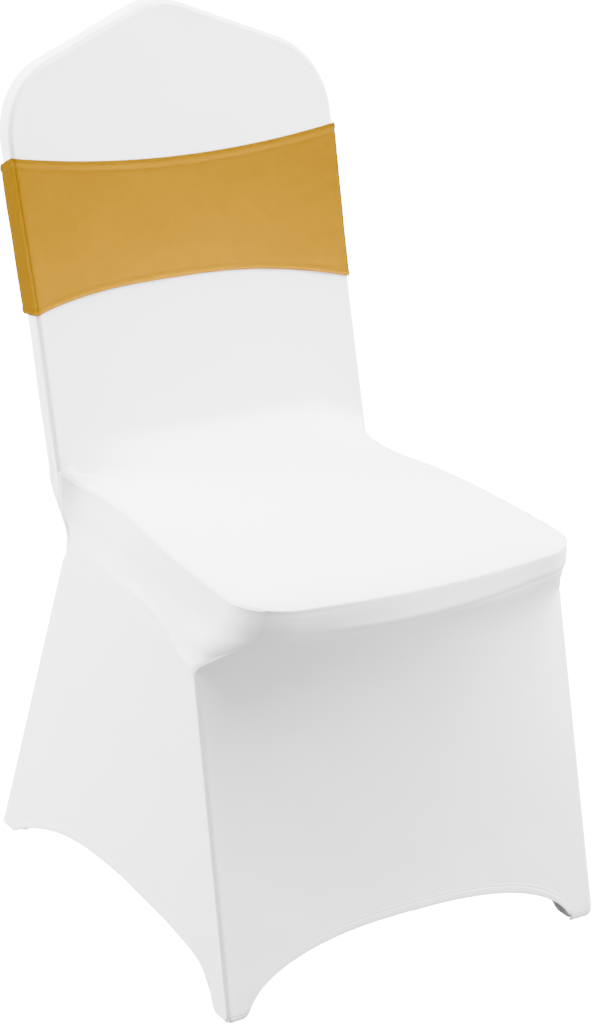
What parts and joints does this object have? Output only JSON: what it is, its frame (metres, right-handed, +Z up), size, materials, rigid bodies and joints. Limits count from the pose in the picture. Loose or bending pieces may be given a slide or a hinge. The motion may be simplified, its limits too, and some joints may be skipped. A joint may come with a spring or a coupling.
{
  "type": "chair cover with sash",
  "caption": "Fitted stretch cover for a crown-backed banquet chair, hollow, with arched skirt hems, foot pockets and a sash band pulled round the back.",
  "frame": {"origin": "on the floor, under the middle of the cover's overall size", "axes": "+X to the right-hand side of a person who faces the front, -Y to the front, +Z up"},
  "size_m": [0.462, 0.5894, 0.9303],
  "materials": {
    "white_stretch_knit": "matte white polyester and elastane knit, smooth face",
    "white_pocket_cloth": "matte white doubled cloth of the foot pockets",
    "golden_yellow_stretch_knit": "matte golden yellow knit with a slight sheen"
  },
  "bodies": {
    "root": {"front_panel": "white_stretch_knit", "back_panel": "white_stretch_knit", "side_panel_left": "white_stretch_knit", "side_panel_right": "white_stretch_knit", "foot_pocket_front_left": "white_pocket_cloth", "foot_pocket_front_right": "white_pocket_cloth", "foot_pocket_rear_left": "white_pocket_cloth", "foot_pocket_rear_right": "white_pocket_cloth", "sash_band": "golden_yellow_stretch_knit"}
  },
  "joints": []
}
